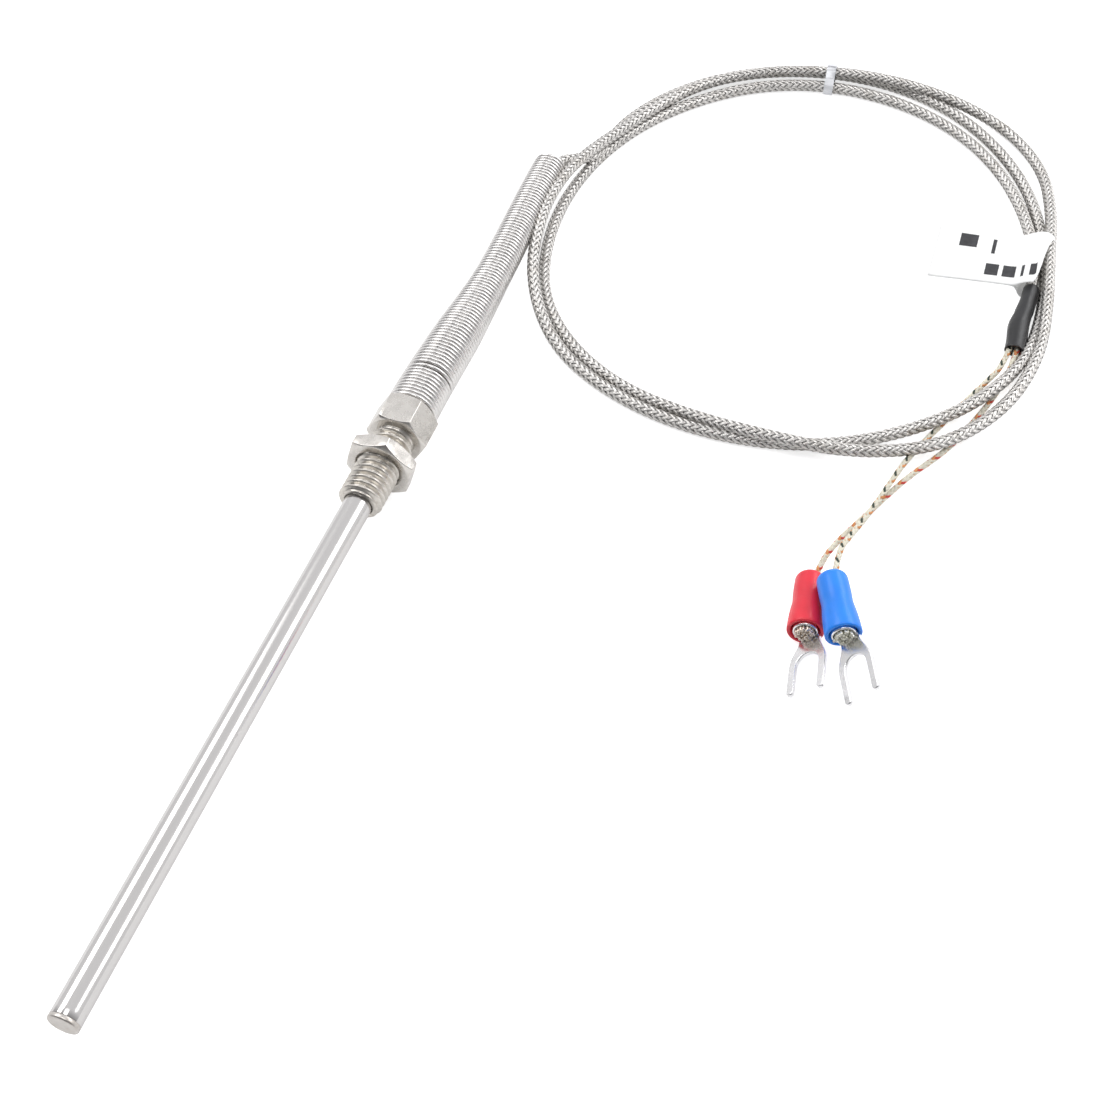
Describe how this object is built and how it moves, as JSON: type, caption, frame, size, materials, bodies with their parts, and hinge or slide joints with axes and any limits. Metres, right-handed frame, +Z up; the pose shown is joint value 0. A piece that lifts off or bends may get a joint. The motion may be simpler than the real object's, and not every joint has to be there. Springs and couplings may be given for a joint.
{
  "type": "thermocouple probe",
  "caption": "Sheathed thermocouple probe with a threaded swivel bushing, lock nut, tapered strain-relief spring and a coiled braided lead ending in insulated fork terminals.",
  "frame": {"origin": "on the probe's axis at the front face of the threaded bushing, where the thread starts", "axes": "+X along the probe's axis from the closed tip towards the spring and the lead; +Z up, away from the surface it lies on; the ring of lead lies on the -Y side"},
  "size_m": [0.2488, 0.1083, 0.0128],
  "materials": {
    "sheath_steel": "polished",
    "nickel": "nickel plated, satin",
    "spring_steel": "bright drawn wire",
    "braid": "braided stainless wire",
    "white_plastic": "smooth",
    "label_paper": "satin paper",
    "heat_shrink": "matte",
    "glass_sleeving": "braided fibreglass",
    "red_vinyl": "soft gloss",
    "blue_vinyl": "soft gloss",
    "tinned": "tin plated",
    "conductor": "stranded wire",
    "ceramic": "fired, matte",
    "epoxy": "cast resin"
  },
  "bodies": {
    "probe": {"sheath_tube": "sheath_steel", "sheath_end_plug": "sheath_steel", "measuring_junction": "conductor", "positive_thermo_wire": "conductor", "negative_thermo_wire": "conductor", "ceramic_insulator": "ceramic", "tip_fill": "ceramic", "rear_seal": "epoxy", "crimp_ferrule": "nickel", "strain_relief_spring": "spring_steel", "cable_lead_out": "braid", "cable_coil": "braid", "cable_tail": "braid", "cable_tie": "white_plastic", "label_flag": "label_paper", "heat_shrink_sleeve": "heat_shrink", "positive_lead": "glass_sleeving", "negative_lead": "glass_sleeving", "positive_conductor": "conductor", "negative_conductor": "conductor", "positive_fork": "tinned", "negative_fork": "tinned", "positive_sleeve": "red_vinyl", "negative_sleeve": "blue_vinyl"},
    "bushing": {"threaded_bushing": "nickel"},
    "lock_nut": {"lock_nut": "nickel"}
  },
  "joints": [
    {"name": "bushing_swivel", "type": "hinge", "parent": "probe", "child": "bushing", "pos_m": [0, 0, 0], "axis": [1, 0, 0], "continuous": true},
    {"name": "lock_nut_travel", "type": "slide", "parent": "bushing", "child": "lock_nut", "axis": [1, 0, 0], "range_m": [-0.0078, 0.0034]}
  ]
}
